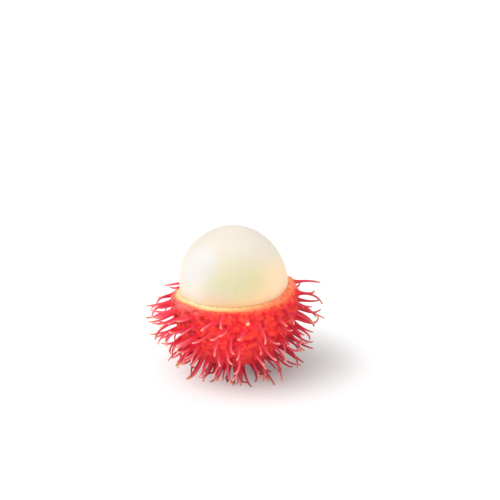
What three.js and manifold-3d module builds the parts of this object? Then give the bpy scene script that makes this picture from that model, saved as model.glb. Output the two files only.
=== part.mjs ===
// A half-peeled rambutan, in millimetres, +Z up, standing on the spines that its own weight has pressed
// against the surface below. Two things make it: the lower half of the rind, one leathery cup with its soft
// spines grown out of it, and the peeled flesh, one egg-shaped body that sits in the cup. The fruit leans a
// little, so both are turned about the middle of the cup. They are modelled with the cup's middle over
// x = 0, y = 0, and the whole fruit is then moved by STANDS_AT, so that the origin is on the surface below,
// under the middle of its box.
import * as THREE from "three";
import { mergeVertices } from "three/addons/utils/BufferGeometryUtils.js";
import Module from "manifold-3d";

const wasm = await Module();
wasm.setup();

// Driving dimensions.
const BODY_RADIUS = 20.5; // the rind at its widest, without the spines
const BODY_DEPTH = 23.5; // from the widest part down to the stem end
const RIND_THICKNESS = 2.65; // at the rim
const STEM_END_THICKNESS = 3.1;
const CENTRE_HEIGHT = 28.2; // the widest part above the surface that the fruit stands on
const LEAN_LEFT = 2.5; // degrees that the top leans towards -X
const LEAN_FORWARD = 0.8; // degrees that the top leans towards -Y
const STANDS_AT = { x: -0.3, y: -0.81 };

const RIM_HEIGHT = 1.7; // the peeled edge above the widest part
const RIM_FACE = 0.85; // width of the flat torn face
const SHOULDER_DROP = 2.9; // the rounded outer edge ends this far below the rim
const RIM_WAVE_DEPTH = 5; // the rim's waves and its dip fade out this far below the widest part
const RIM_WAVES = [
  { turns: 2, height: 0.22, phase: 0.6 },
  { turns: 5, height: 0.14, phase: 2.1 },
  { turns: 9, height: 0.08, phase: 4.4 },
];
const RIM_DIP = { turn: 150, power: 2, depth: 2 }; // the rind is torn lower on this side, at `turn` degrees

const FLESH_GAP = 0.35; // between the flesh and the lining of the cup
const FLESH_CENTRE = 4.3; // the foot of the flesh's dome above the cup's widest part
const FLESH_TOP = 18; // from there to its top
const DOME_POWER = 1.92; // 2 is an ellipse, and less is leaner
const DOME_SIDEWAYS = 0.25; // the dome is fuller by this much towards -X

const SCAR_RADIUS = 2.7; // the stem scar at the cup's lowest point
const SCAR_HEIGHT = 0.45;
const SCAR_PIT = 1.1;

const SPINE_COUNT = 238; // places for spines; those on the stem scar stay empty
const SPINE_LENGTH = { shortest: 7.2, longest: 10.9 };
const UNDERSIDE_SHORTENING = 0.25; // share by which the lowest spines are shorter
const UNDERSIDE_START = 0.75; // share of the depth at which they begin to be
const SNAPPED_SPINE = { index: 10, length: 2.6 }; // the one that has broken off
const SPINE_ROOT_RADIUS = 1.3;
const SPINE_MIDDLE_RADIUS = 0.42;
const SPINE_TIP_RADIUS = 0.27;
const SPINE_FLARE_LENGTH = 2.4; // the root narrows over this length
const SPINE_ROOT_DEPTH = 1; // how far the root reaches into the rind
const SPINE_TOP = 0.9; // the highest spines start this far above the widest part
const SPINE_STEPS = 12; // steps of a spine's middle line
// The solid of a spine that stands free, and of one that is pressed on the surface below. `rings` are the
// steps at which its section is set, and `start` is the turn of the section's first corner.
const FREE_SPINE = { sides: 3, start: 0, rings: [0, 4, 8], blunt: false };
const PRESSED_SPINE = { sides: 4, start: Math.PI / 4, rings: [0, 3, 6, 9, 12], blunt: true };
const CROWDING = 0.84; // below 1, the spines stand closer towards the stem end
const BUNCHING = { strength: 0.22, turn: -160 }; // they stand closer on this side, at `turn` degrees
const ROOT_STRAY_HEIGHT = 3; // how far a root strays from the spiral, in spines
const ROOT_STRAY_ACROSS = 1.9; // and round the fruit, in millimetres
const LEAST_RING = 4; // near the stem end the stray is measured on a ring of this radius
const ROOT_TILT = 0.28; // how far a spine leaves the surface's normal
// How the spines of each side are combed over: `turn` is that side in degrees, `power` how narrow it is, and
// `way` the pull, as strong as `atRim` near the rim and `atStem` at the stem end.
const FRONT = { turn: -85, power: 3, atRim: 0.05, atStem: 0.95, way: new THREE.Vector3(-0.1, 0.15, -1) };
const LEFT = { turn: -150, power: 2, atRim: 0.9, atStem: 0.05, way: new THREE.Vector3(-0.95, 0.1, -0.15) };
const RIGHT = { turn: -10, power: 2, atRim: 0.25, atStem: 0, way: new THREE.Vector3(0.5, -0.1, -0.8) };
const LOW_RIGHT = { turn: -30, power: 2, atRim: 0, atStem: 1.1, way: new THREE.Vector3(0.9, -0.3, -0.35) };
const BACK = { turn: 115, power: 2, atRim: 0.5, atStem: 0, way: new THREE.Vector3(0, 0, -1) };
const COMBS = [FRONT, LEFT, RIGHT, LOW_RIGHT, BACK];
const FRONT_SHORTENING = 0.3; // share by which the spines at the front are shorter near the rim
const LOW_RIGHT_LENGTHENING = 0.22; // and those at the low right longer near the stem end
const SAG = 0.02; // how fast a spine turns downwards, per millimetre
const CURL = 0.4; // how fast its end turns sideways, per millimetre
const SETTLE_LENGTH = 1; // how gently a spine turns along the surface below
const PRESSED_DEPTH = 0.5; // share of a pressed spine's radius that is below the surface, where it is cut

const GOLDEN_ANGLE = Math.PI * (3 - Math.sqrt(5));
const AROUND_SHELL = 26; // sides of the cup
const AROUND_FLESH = 32; // sides of the flesh
const MERGE_DISTANCE = 1e-4;
const BELOW = { width: 200, depth: 20 }; // the block that cuts the pressed spines flat

const CENTRE = new THREE.Vector3(0, 0, CENTRE_HEIGHT);
const DOWN = new THREE.Vector3(0, 0, -1);
const LEAN = new THREE.Quaternion().setFromUnitVectors(
  new THREE.Vector3(0, 0, 1),
  new THREE.Vector3(
    -Math.sin(THREE.MathUtils.degToRad(LEAN_LEFT)),
    -Math.sin(THREE.MathUtils.degToRad(LEAN_FORWARD)),
    1,
  ).normalize(),
);

// A repeatable number from 0 to 1 for spine `index`; `channel` keeps its uses apart.
function scatter(index, channel) {
  const wave = Math.sin(index * 12.9898 + channel * 78.233) * 43758.5453;
  return wave - Math.floor(wave);
}

// The same, from -1 to 1.
function spread(index, channel) {
  return 2 * scatter(index, channel) - 1;
}

// How near `turn` is to the side of the fruit at `side.turn` degrees, from 0 to 1. The higher `side.power`
// is, the narrower is that side.
function nearness(side, turn) {
  return Math.max(0, Math.cos(turn - THREE.MathUtils.degToRad(side.turn))) ** side.power;
}

// How far the torn rim stands above its mean height, at a turn `angle` round the fruit.
function rimLift(angle) {
  const waves = RIM_WAVES.reduce(
    (sum, wave) => sum + wave.height * Math.sin(wave.turns * angle + wave.phase),
    0,
  );
  return waves - RIM_DIP.depth * nearness(RIM_DIP, angle);
}

// Height `z` above the widest part, moved with the rim where it is near it.
function lifted(z, angle) {
  return z + THREE.MathUtils.smoothstep(z, -RIM_WAVE_DEPTH, RIM_HEIGHT) * rimLift(angle);
}

// `count` + 1 points of a quarter ellipse from the axis, at -depth, out to the widest part at height 0.
function quarterEllipse(radius, depth, count) {
  const points = [];
  for (let i = 0; i <= count; i++) {
    const turn = (i / count) * (Math.PI / 2);
    points.push(new THREE.Vector2(radius * Math.sin(turn), -depth * Math.cos(turn)));
  }
  return points;
}

// The closed outline of the cup: scar, outside, shoulder, torn face, and the lining back to the axis.
function shellProfile() {
  const bottom = -BODY_DEPTH;
  const outside = quarterEllipse(BODY_RADIUS, BODY_DEPTH, 9).filter(
    (p) => p.x > SCAR_RADIUS + 0.5 && p.y < RIM_HEIGHT - SHOULDER_DROP - 1,
  );
  const scar = [
    new THREE.Vector2(0, bottom + 0.1),
    new THREE.Vector2(SCAR_PIT, bottom + 0.1),
    new THREE.Vector2(SCAR_PIT, bottom - SCAR_HEIGHT),
    new THREE.Vector2(SCAR_RADIUS, bottom - SCAR_HEIGHT + 0.15),
  ];
  const rimOuter = BODY_RADIUS - RIND_THICKNESS + RIM_FACE;
  const shoulder = [0, 0.5, 1].map((share) => {
    const turn = (share * Math.PI) / 2;
    return new THREE.Vector2(
      rimOuter + (BODY_RADIUS - rimOuter) * Math.cos(turn),
      RIM_HEIGHT - SHOULDER_DROP + SHOULDER_DROP * Math.sin(turn),
    );
  });
  const lining = quarterEllipse(
    BODY_RADIUS - RIND_THICKNESS,
    BODY_DEPTH - STEM_END_THICKNESS,
    8,
  ).reverse();
  const rimInner = new THREE.Vector2(BODY_RADIUS - RIND_THICKNESS, RIM_HEIGHT);
  return [...scar, ...outside, ...shoulder, rimInner, ...lining];
}

// A solid of revolution about Z, as a geometry that holds only positions, with shared vertices merged.
function turned(profile, around) {
  const geometry = new THREE.LatheGeometry(profile, around).rotateX(Math.PI / 2);
  geometry.deleteAttribute("normal");
  geometry.deleteAttribute("uv");
  return mergeVertices(geometry, MERGE_DISTANCE);
}

// Turns a geometry that was made about the fruit's own axis to where the leaning fruit stands.
function leaned(geometry) {
  return geometry.applyQuaternion(LEAN).translate(0, 0, CENTRE_HEIGHT);
}

function shellGeometry() {
  const geometry = turned(shellProfile(), AROUND_SHELL);
  const position = geometry.getAttribute("position");
  for (let i = 0; i < position.count; i++) {
    const angle = Math.atan2(position.getY(i), position.getX(i));
    position.setZ(i, lifted(position.getZ(i), angle));
  }
  return leaned(geometry);
}

// The flesh follows the lining up to the cup's widest part, goes straight up a little, and closes as a dome.
function fleshProfile() {
  const radius = BODY_RADIUS - RIND_THICKNESS - FLESH_GAP;
  const lower = quarterEllipse(radius, BODY_DEPTH - STEM_END_THICKNESS - FLESH_GAP, 9);
  const dome = quarterEllipse(1, 1, 9)
    .reverse()
    .map((p) => {
      const out = radius * p.x ** (2 / DOME_POWER);
      const up = FLESH_TOP * (-p.y) ** (2 / DOME_POWER);
      return new THREE.Vector2(out, FLESH_CENTRE + up);
    });
  return [...lower, ...dome];
}

function fleshGeometry() {
  const geometry = turned(fleshProfile(), AROUND_FLESH);
  const position = geometry.getAttribute("position");
  for (let i = 0; i < position.count; i++) {
    const share = THREE.MathUtils.clamp((position.getZ(i) - FLESH_CENTRE) / FLESH_TOP, 0, 1);
    position.setX(i, position.getX(i) - DOME_SIDEWAYS * Math.sin(Math.PI * share));
  }
  return leaned(geometry);
}

// The radius of a spine that is `length` long, `along` millimetres from the surface of the rind.
function spineRadius(along, length) {
  const share = THREE.MathUtils.clamp(along / length, 0, 1);
  const shaft = THREE.MathUtils.lerp(SPINE_MIDDLE_RADIUS, SPINE_TIP_RADIUS, share * share);
  const flare = Math.exp(-Math.max(along, 0) / (SPINE_FLARE_LENGTH / 2));
  return shaft + (SPINE_ROOT_RADIUS - SPINE_MIDDLE_RADIUS) * flare;
}

// Where spine `index` leaves the rind: its turn round the fruit and its height above the widest part. The
// roots follow a golden-angle spiral, stray a little from it and stand closer on one side.
function spinePlace(index) {
  const order = (index + 0.5 - spread(index, 1) * ROOT_STRAY_HEIGHT) / SPINE_COUNT;
  const share = THREE.MathUtils.clamp(order, 0, 1) ** CROWDING;
  const height = SPINE_TOP - (BODY_DEPTH + SPINE_TOP) * share;
  const z = THREE.MathUtils.clamp(height, 0.02 - BODY_DEPTH, SPINE_TOP);
  const ring = BODY_RADIUS * Math.sqrt(1 - (z / BODY_DEPTH) ** 2);
  const across = (spread(index, 2) * ROOT_STRAY_ACROSS) / Math.max(ring, LEAST_RING);
  const even = index * GOLDEN_ANGLE + across;
  const fromBunch = even - THREE.MathUtils.degToRad(BUNCHING.turn);
  return { turn: even - BUNCHING.strength * Math.sin(fromBunch), z, ring };
}

// How far down the cup height `z` is, from 0 at its widest part to 1 at the stem end.
function depthAt(z) {
  return Math.max(-z, 0) / BODY_DEPTH;
}

function spineLength(index, turn, z) {
  if (index === SNAPPED_SPINE.index) return SNAPPED_SPINE.length;
  const { shortest, longest } = SPINE_LENGTH;
  const under = Math.max(depthAt(z) - UNDERSIDE_START, 0) / (1 - UNDERSIDE_START);
  const keptBelow = 1 - UNDERSIDE_SHORTENING * under;
  const keptInFront = 1 - FRONT_SHORTENING * (1 - depthAt(z)) * nearness(FRONT, turn);
  const grown = 1 + LOW_RIGHT_LENGTHENING * depthAt(z) * nearness(LOW_RIGHT, turn);
  return keptBelow * keptInFront * grown * THREE.MathUtils.lerp(shortest, longest, scatter(index, 3));
}

// How the spine at `turn` and height `z` is combed over: a vector to add to its direction.
function combedWay(turn, z) {
  const pull = new THREE.Vector3();
  for (const comb of COMBS) {
    const strength = THREE.MathUtils.lerp(comb.atRim, comb.atStem, depthAt(z));
    pull.addScaledVector(comb.way, strength * nearness(comb, turn));
  }
  return pull;
}

// The middle line of spine `index`: it leaves near the normal, sags and curls, and turns along the surface
// below where it would reach it.
function spinePath(index) {
  const { turn, z, ring } = spinePlace(index);
  const length = spineLength(index, turn, z);
  const point = new THREE.Vector3(ring * Math.cos(turn), ring * Math.sin(turn), z);
  const normal = new THREE.Vector3(
    point.x / BODY_RADIUS ** 2,
    point.y / BODY_RADIUS ** 2,
    point.z / BODY_DEPTH ** 2,
  );
  normal.normalize().applyQuaternion(LEAN);
  point.setZ(lifted(z, turn)).applyQuaternion(LEAN).add(CENTRE);
  const outward = new THREE.Vector3(point.x, point.y, 0).normalize();
  const aside = new THREE.Vector3(spread(index, 4), spread(index, 5), spread(index, 6));
  const curl = new THREE.Vector3(spread(index, 7), spread(index, 8), spread(index, 9));
  const direction = normal
    .clone()
    .addScaledVector(aside, ROOT_TILT)
    .add(combedWay(turn, z))
    .normalize();
  const step = length / SPINE_STEPS;
  const here = point.clone();
  const root = point.clone().addScaledVector(normal, -SPINE_ROOT_DEPTH);
  const points = [here.clone()];
  let pressed = false;
  for (let i = 1; i <= SPINE_STEPS; i++) {
    direction.addScaledVector(DOWN, SAG * step).normalize();
    direction.addScaledVector(curl, CURL * step * (i / SPINE_STEPS) ** 2).normalize();
    const rest = spineRadius(i * step, length) * (1 - PRESSED_DEPTH);
    const steepest = Math.max(here.z - rest, 0) / SETTLE_LENGTH;
    if (-direction.z > steepest) {
      const lost = -direction.z - steepest;
      direction.z = -steepest;
      direction.addScaledVector(outward, lost).normalize();
    }
    here.addScaledVector(direction, step);
    pressed ||= here.z < 2 * rest;
    here.z = Math.max(here.z, rest);
    points.push(here.clone());
  }
  return { root, points, outward, length, step, pressed };
}

// One spine: a solid of revolution whose sections are laid along the middle line, each with one side level.
function spineGeometry(index) {
  const { root, points, outward, length, step, pressed } = spinePath(index);
  const { sides, start, rings, blunt } = pressed ? PRESSED_SPINE : FREE_SPINE;
  const sections = [
    { at: root, radius: 0 },
    { at: root, radius: spineRadius(0, length) },
    ...rings.map((ring) => ({ at: points[ring], radius: spineRadius(ring * step, length) })),
    { at: points[blunt ? rings.at(-1) : SPINE_STEPS], radius: 0 },
  ];
  const profile = sections.map(({ radius }, i) => new THREE.Vector2(radius, i));
  const geometry = new THREE.LatheGeometry(profile, sides, start);
  geometry.deleteAttribute("normal");
  geometry.deleteAttribute("uv");
  const level = new THREE.Vector3(-outward.y, outward.x, 0);
  const frames = sections.map((section, i) => {
    const before = sections[Math.max(i - 1, 0)].at;
    const after = sections[Math.min(i + 1, sections.length - 1)].at;
    const along = after.clone().sub(before).normalize();
    const over = along.clone().cross(level).normalize();
    return { at: section.at, across: along.cross(over), over };
  });
  const position = geometry.getAttribute("position");
  for (let i = 0; i < position.count; i++) {
    const { at, across, over } = frames[i % sections.length];
    const placed = at
      .clone()
      .addScaledVector(across, position.getX(i))
      .addScaledVector(over, position.getZ(i));
    position.setXYZ(i, placed.x, placed.y, placed.z);
  }
  return mergeVertices(geometry, MERGE_DISTANCE);
}

function solidOf(geometry) {
  return new wasm.Manifold(
    new wasm.Mesh({
      numProp: 3,
      vertProperties: geometry.getAttribute("position").array,
      triVerts: new Uint32Array(geometry.index.array),
    }),
  );
}

function geometryOf(solid) {
  const mesh = solid.getMesh();
  const geometry = new THREE.BufferGeometry();
  geometry.setAttribute("position", new THREE.BufferAttribute(mesh.vertProperties, 3));
  geometry.setIndex(new THREE.BufferAttribute(mesh.triVerts, 1));
  geometry.computeVertexNormals();
  return geometry;
}

// The cup with all its spines, cut flat where the pressed ones lie on the surface below.
function rindGeometry() {
  const spines = [];
  for (let i = 0; i < SPINE_COUNT; i++) {
    if (spinePlace(i).ring > SCAR_RADIUS) spines.push(solidOf(spineGeometry(i)));
  }
  const whole = wasm.Manifold.union([solidOf(shellGeometry()), ...spines]);
  const block = new THREE.BoxGeometry(BELOW.width, BELOW.width, BELOW.depth);
  block.translate(0, 0, -BELOW.depth / 2);
  block.deleteAttribute("normal");
  block.deleteAttribute("uv");
  return geometryOf(whole.subtract(solidOf(mergeVertices(block, MERGE_DISTANCE))));
}

const rind = new THREE.Mesh(
  rindGeometry(),
  new THREE.MeshStandardMaterial({ color: 0xe8303a, roughness: 0.45, metalness: 0 }),
);
rind.name = "rind";

const flesh = new THREE.Mesh(
  fleshGeometry(),
  new THREE.MeshStandardMaterial({ color: 0xf6efdc, roughness: 0.35, metalness: 0 }),
);
flesh.name = "flesh";

const rambutan = new THREE.Group();
rambutan.add(rind, flesh);
rambutan.position.set(STANDS_AT.x, STANDS_AT.y, 0);

export default rambutan;
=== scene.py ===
"""A half-peeled rambutan: the skin, spines, torn rim and moist flesh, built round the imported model.

Everything is in metres, +Z up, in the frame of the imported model. The fruit stands on its lowest spines at
z = 0 and leans a little; its parts are shaped about the cup's own axis and then placed by `Stance`.
"""

from __future__ import annotations

import logging
import math
from dataclasses import dataclass
from enum import Enum, IntEnum

import bpy
import numpy as np
from mathutils import Matrix, Quaternion, Vector, noise

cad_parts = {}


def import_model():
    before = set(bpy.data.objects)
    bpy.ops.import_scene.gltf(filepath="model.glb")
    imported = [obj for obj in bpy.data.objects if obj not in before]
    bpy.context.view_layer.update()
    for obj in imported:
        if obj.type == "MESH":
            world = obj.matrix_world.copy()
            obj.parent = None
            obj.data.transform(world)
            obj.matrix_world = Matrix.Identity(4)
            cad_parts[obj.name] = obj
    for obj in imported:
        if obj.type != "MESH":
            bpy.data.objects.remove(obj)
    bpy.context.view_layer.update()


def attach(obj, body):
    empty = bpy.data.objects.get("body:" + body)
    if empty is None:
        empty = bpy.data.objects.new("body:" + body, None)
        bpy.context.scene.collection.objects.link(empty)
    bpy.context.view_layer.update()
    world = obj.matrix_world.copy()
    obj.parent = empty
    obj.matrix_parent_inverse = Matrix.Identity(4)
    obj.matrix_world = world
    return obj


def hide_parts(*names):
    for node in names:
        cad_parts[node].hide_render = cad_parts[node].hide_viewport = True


LOG = logging.getLogger("rambutan")

MM = 0.001
GOLDEN_ANGLE = math.pi * (3 - math.sqrt(5))
DOWN = Vector((0, 0, -1))
WHITE = (1, 1, 1, 1)

INDEX_STRIDE = 12.9898
CHANNEL_STRIDE = 78.233
SCATTER_GAIN = 43758.5453

Socket = bpy.types.NodeSocket
Triple = tuple[float, float, float]
Span = tuple[float, float]
Profile = tuple[Span, ...]
Ramp = tuple[tuple[float, str], ...]
Inputs = dict[str | int, object]


class Draw(IntEnum):
    """The uses of a spine's repeatable numbers; a vector takes its own and the next two."""

    HEIGHT = 1
    ACROSS = 2
    LENGTH = 3
    TILT = 4
    CURL = 7
    TINT = 10
    THICKNESS = 11
    # How much painted shade each spine takes.
    SHADE = 12


def scatter(index: int, channel: int) -> float:
    """Give a repeatable number from 0 to 1 for one use of one spine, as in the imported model."""
    wave = math.sin(index * INDEX_STRIDE + channel * CHANNEL_STRIDE) * SCATTER_GAIN
    return wave - math.floor(wave)


def spread(index: int, channel: int) -> float:
    """Give the same number as `scatter`, from -1 to 1."""
    return 2 * scatter(index, channel) - 1


def spread_vector(index: int, channel: int) -> Vector:
    """Give three such numbers, from `channel` on, as a vector inside a cube of side 2."""
    return Vector([spread(index, channel + i) for i in range(3)])


def smoothstep(value: np.ndarray, low: float, high: float) -> np.ndarray:
    """Rise smoothly from 0 where a value is `low` to 1 where it is `high`."""
    share = np.clip((value - low) / (high - low), 0, 1)
    return share * share * (3 - 2 * share)


def in_scene(name: str, data: bpy.types.ID) -> bpy.types.Object:
    """Make an object in the scene.

    Args:
        name: Its name.
        data: Its mesh, light or camera.

    Returns:
        The object, at the origin.
    """
    thing = bpy.data.objects.new(name, data)
    bpy.context.scene.collection.objects.link(thing)
    return thing


def write_marks(mesh: bpy.types.Mesh, marks: dict[str, np.ndarray]) -> None:
    """Store marks as attributes of a mesh's points.

    Args:
        mesh: The mesh.
        marks: One number for each point, under each mark's name.
    """
    for name, values in marks.items():
        layer = mesh.attributes.new(name, "FLOAT", "POINT")
        layer.data.foreach_set("value", np.ascontiguousarray(values, dtype=np.float32))


@dataclass(frozen=True)
class Grain:
    """Smooth noise: the width of its grains, and a seed that moves it."""

    size: float
    seed: float = 0

    def at(self, points: np.ndarray) -> np.ndarray:
        """Sample the noise at points, one row each; it is about -1 to 1."""
        shift = Vector((self.seed, 2 * self.seed, 3 * self.seed))
        return np.array([noise.noise(Vector(p) / self.size + shift) for p in points])


@dataclass(frozen=True)
class Stance:
    """How the fruit stands: the height of the cup's widest part, its lean, and where its axis is."""

    centre_height: float = 28.2 * MM
    lean_left: float = math.radians(2.5)
    lean_forward: float = math.radians(0.8)
    axis_x: float = -0.3 * MM
    axis_y: float = -0.81 * MM

    def lean(self) -> Quaternion:
        """Give the turn from an upright fruit to the leaning one."""
        way = Vector((-math.sin(self.lean_left), -math.sin(self.lean_forward), 1))
        return Vector((0, 0, 1)).rotation_difference(way)

    def matrix(self) -> Matrix:
        """Give the move from the cup's own axis to the part's frame."""
        place = Vector((self.axis_x, self.axis_y, self.centre_height))
        return Matrix.Translation(place) @ self.lean().to_matrix().to_4x4()

    def placed(self, points: np.ndarray) -> np.ndarray:
        """Move points, one row each, from the cup's own axis to the part's frame."""
        matrix = np.array(self.matrix())
        return points @ matrix[:3, :3].T + matrix[:3, 3]


@dataclass(frozen=True)
class Wave:
    """One of the waves in the torn rim."""

    turns: int
    height: float
    phase: float


@dataclass(frozen=True)
class CupShape:
    """The bare cup of rind, about its own axis, with its widest part at height 0."""

    radius: float = 20.5 * MM
    depth: float = 23.5 * MM
    rind: float = 2.65 * MM
    stem_end: float = 3.1 * MM
    rim_height: float = 1.7 * MM
    rim_face: float = 0.85 * MM
    shoulder_drop: float = 2.9 * MM
    wave_depth: float = 5 * MM
    waves: tuple[Wave, ...] = (
        Wave(2, 0.22 * MM, 0.6),
        Wave(5, 0.14 * MM, 2.1),
        Wave(9, 0.08 * MM, 4.4),
    )
    dip_turn: float = math.radians(150)
    dip_depth: float = 2 * MM
    dip_power: float = 2
    scar_radius: float = 2.7 * MM
    scar_height: float = 0.45 * MM
    scar_pit: float = 1.1 * MM

    def ring(self, height: float) -> float:
        """Give the outside's radius at a height above the widest part."""
        return self.radius * math.sqrt(max(1 - (height / self.depth) ** 2, 0))

    def rim_lift(self, angles: np.ndarray) -> np.ndarray:
        """Give how far the torn rim stands above its mean height.

        Args:
            angles: Turns round the fruit.

        Returns:
            One height for each angle.
        """
        waves = sum(w.height * np.sin(w.turns * angles + w.phase) for w in self.waves)
        dip = np.maximum(np.cos(angles - self.dip_turn), 0) ** self.dip_power
        return waves - self.dip_depth * dip

    def lifted(self, heights: np.ndarray, angles: np.ndarray) -> np.ndarray:
        """Move heights near the rim with its waves and its dip, at turns round the fruit."""
        near_rim = smoothstep(heights, -self.wave_depth, self.rim_height)
        return heights + near_rim * self.rim_lift(angles)


@dataclass(frozen=True)
class Spine:
    """One spine's middle line, its root and its length."""

    index: int
    root: Vector
    line: list[Vector]
    length: float


@dataclass(frozen=True)
class Comb:
    """How the spines of one side of the fruit are combed over."""

    turn: float
    power: float
    at_rim: float
    at_stem: float
    way: Triple
    shorter_at_rim: float = 0
    longer_at_stem: float = 0

    def nearness(self, turn: float) -> float:
        """Give how much a spine that leaves the rind at a turn belongs to this side, from 0 to 1."""
        return max(0, math.cos(turn - self.turn)) ** self.power

    def pull(self, turn: float, depth: float) -> Vector:
        """Give the pull on a spine at a turn and a depth, from 0 at the widest part to 1 at the stem end."""
        strength = self.at_rim + (self.at_stem - self.at_rim) * depth
        return Vector(self.way) * strength * self.nearness(turn)

    def kept(self, turn: float, depth: float) -> float:
        """Give the share of its length that a spine keeps here, at a turn and such a depth."""
        change = self.longer_at_stem * depth - self.shorter_at_rim * (1 - depth)
        return 1 + change * self.nearness(turn)


@dataclass(frozen=True)
class SpineField:
    """Where the spines grow and how they lie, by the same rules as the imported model."""

    cup: CupShape
    stance: Stance
    count: int = 238
    crowding: float = 0.84
    bunching: float = 0.22
    bunched_turn: float = math.radians(-160)
    shortest: float = 7.2 * MM
    longest: float = 10.9 * MM
    underside_shortening: float = 0.25
    underside_start: float = 0.75
    snapped_index: int = 10
    snapped_length: float = 2.6 * MM
    root_radius: float = 1.15 * MM
    middle_radius: float = 0.42 * MM
    tip_radius: float = 0.235 * MM
    flare_length: float = 2.4 * MM
    root_depth: float = 1 * MM
    top: float = 0.9 * MM
    above_pole: float = 0.02 * MM
    steps: int = 12
    stray_height: float = 3
    stray_across: float = 1.9 * MM
    stray_least_ring: float = 4 * MM
    tilt: float = 0.28
    combs: tuple[Comb, ...] = (
        Comb(math.radians(-85), 3, 0.05, 0.95, (-0.1, 0.15, -1), shorter_at_rim=0.3),
        Comb(math.radians(-150), 2, 0.9, 0.05, (-0.95, 0.1, -0.15)),
        Comb(math.radians(-10), 2, 0.25, 0.0, (0.5, -0.1, -0.8)),
        Comb(math.radians(-30), 2, 0, 1.1, (0.9, -0.3, -0.35), longer_at_stem=0.22),
        Comb(math.radians(115), 2, 0.5, 0, (0, 0, -1)),
    )
    sag: float = 0.02 / MM
    curl: float = 0.4 / MM
    settle_length: float = 1 * MM
    pressed_depth: float = 0.5

    def radius_at(self, along: float, length: float) -> float:
        """Give a spine's radius.

        Args:
            along: Distance from the rind's surface.
            length: The whole spine's length.

        Returns:
            The radius there.
        """
        share = min(max(along / length, 0), 1)
        shaft = self.middle_radius + (self.tip_radius - self.middle_radius) * share**2
        flare = math.exp(-max(along, 0) / (self.flare_length / 2))
        return shaft + (self.root_radius - self.middle_radius) * flare

    def place(self, index: int) -> tuple[float, float]:
        """Give where a spine leaves the rind.

        Args:
            index: The spine's number on the golden-angle spiral.

        Returns:
            Its turn round the fruit, and its height above the widest part.
        """
        order = index + 0.5 - spread(index, Draw.HEIGHT) * self.stray_height
        share = min(max(order / self.count, 0), 1)
        height = self.top - (self.cup.depth + self.top) * share**self.crowding
        height = min(max(height, self.above_pole - self.cup.depth), self.top)
        across = spread(index, Draw.ACROSS) * self.stray_across
        turn = index * GOLDEN_ANGLE + across / max(self.cup.ring(height), self.stray_least_ring)
        return turn - self.bunching * math.sin(turn - self.bunched_turn), height

    def length_of(self, index: int, turn: float, height: float) -> float:
        """Give a spine's length.

        Args:
            index: The spine's number.
            turn: Where it leaves the rind, round the fruit.
            height: Where it leaves the rind, above the widest part.

        Returns:
            Its length, which differs under the fruit and from side to side.
        """
        if index == self.snapped_index:
            return self.snapped_length
        depth = max(-height, 0) / self.cup.depth
        under = max(depth - self.underside_start, 0) / (1 - self.underside_start)
        kept = 1 - self.underside_shortening * under
        for comb in self.combs:
            kept *= comb.kept(turn, depth)
        return kept * (self.shortest + (self.longest - self.shortest) * scatter(index, Draw.LENGTH))

    def spine(self, index: int) -> Spine:
        """Trace one spine: it leaves near the normal, sags, curls, and turns along the surface below.

        Args:
            index: The spine's number.

        Returns:
            The spine in the part's frame.
        """
        turn, height = self.place(index)
        ring = self.cup.ring(height)
        length = self.length_of(index, turn, height)
        lean = self.stance.lean()
        point = Vector((ring * math.cos(turn), ring * math.sin(turn), height))
        squares = (self.cup.radius**2, self.cup.radius**2, self.cup.depth**2)
        normal = lean @ Vector([a / b for a, b in zip(point, squares)]).normalized()
        point.z = self.cup.lifted(height, turn)
        here = lean @ point + Vector((0, 0, self.stance.centre_height))
        outward = Vector((here.x, here.y, 0)).normalized()
        way = normal + spread_vector(index, Draw.TILT) * self.tilt
        for comb in self.combs:
            way += comb.pull(turn, max(-height, 0) / self.cup.depth)
        way.normalize()
        curl = spread_vector(index, Draw.CURL)
        step = length / self.steps
        axis = Vector((self.stance.axis_x, self.stance.axis_y, 0))
        root = here - normal * self.root_depth + axis
        line = [here + axis]
        for i in range(1, self.steps + 1):
            way = (way + DOWN * self.sag * step).normalized()
            way = (way + curl * self.curl * step * (i / self.steps) ** 2).normalized()
            rest = self.radius_at(i * step, length) * (1 - self.pressed_depth)
            steepest = max(here.z - rest, 0) / self.settle_length
            if -way.z > steepest:
                lost = -way.z - steepest
                way.z = -steepest
                way = (way + outward * lost).normalized()
            here = here + way * step
            here.z = max(here.z, rest)
            line.append(here + axis)
        return Spine(index, root, line, length)

    def spines(self) -> list[Spine]:
        """Trace every spine that stands clear of the stem scar."""
        scar = self.cup.scar_radius
        return [self.spine(i) for i in range(self.count) if self.cup.ring(self.place(i)[1]) > scar]


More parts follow.
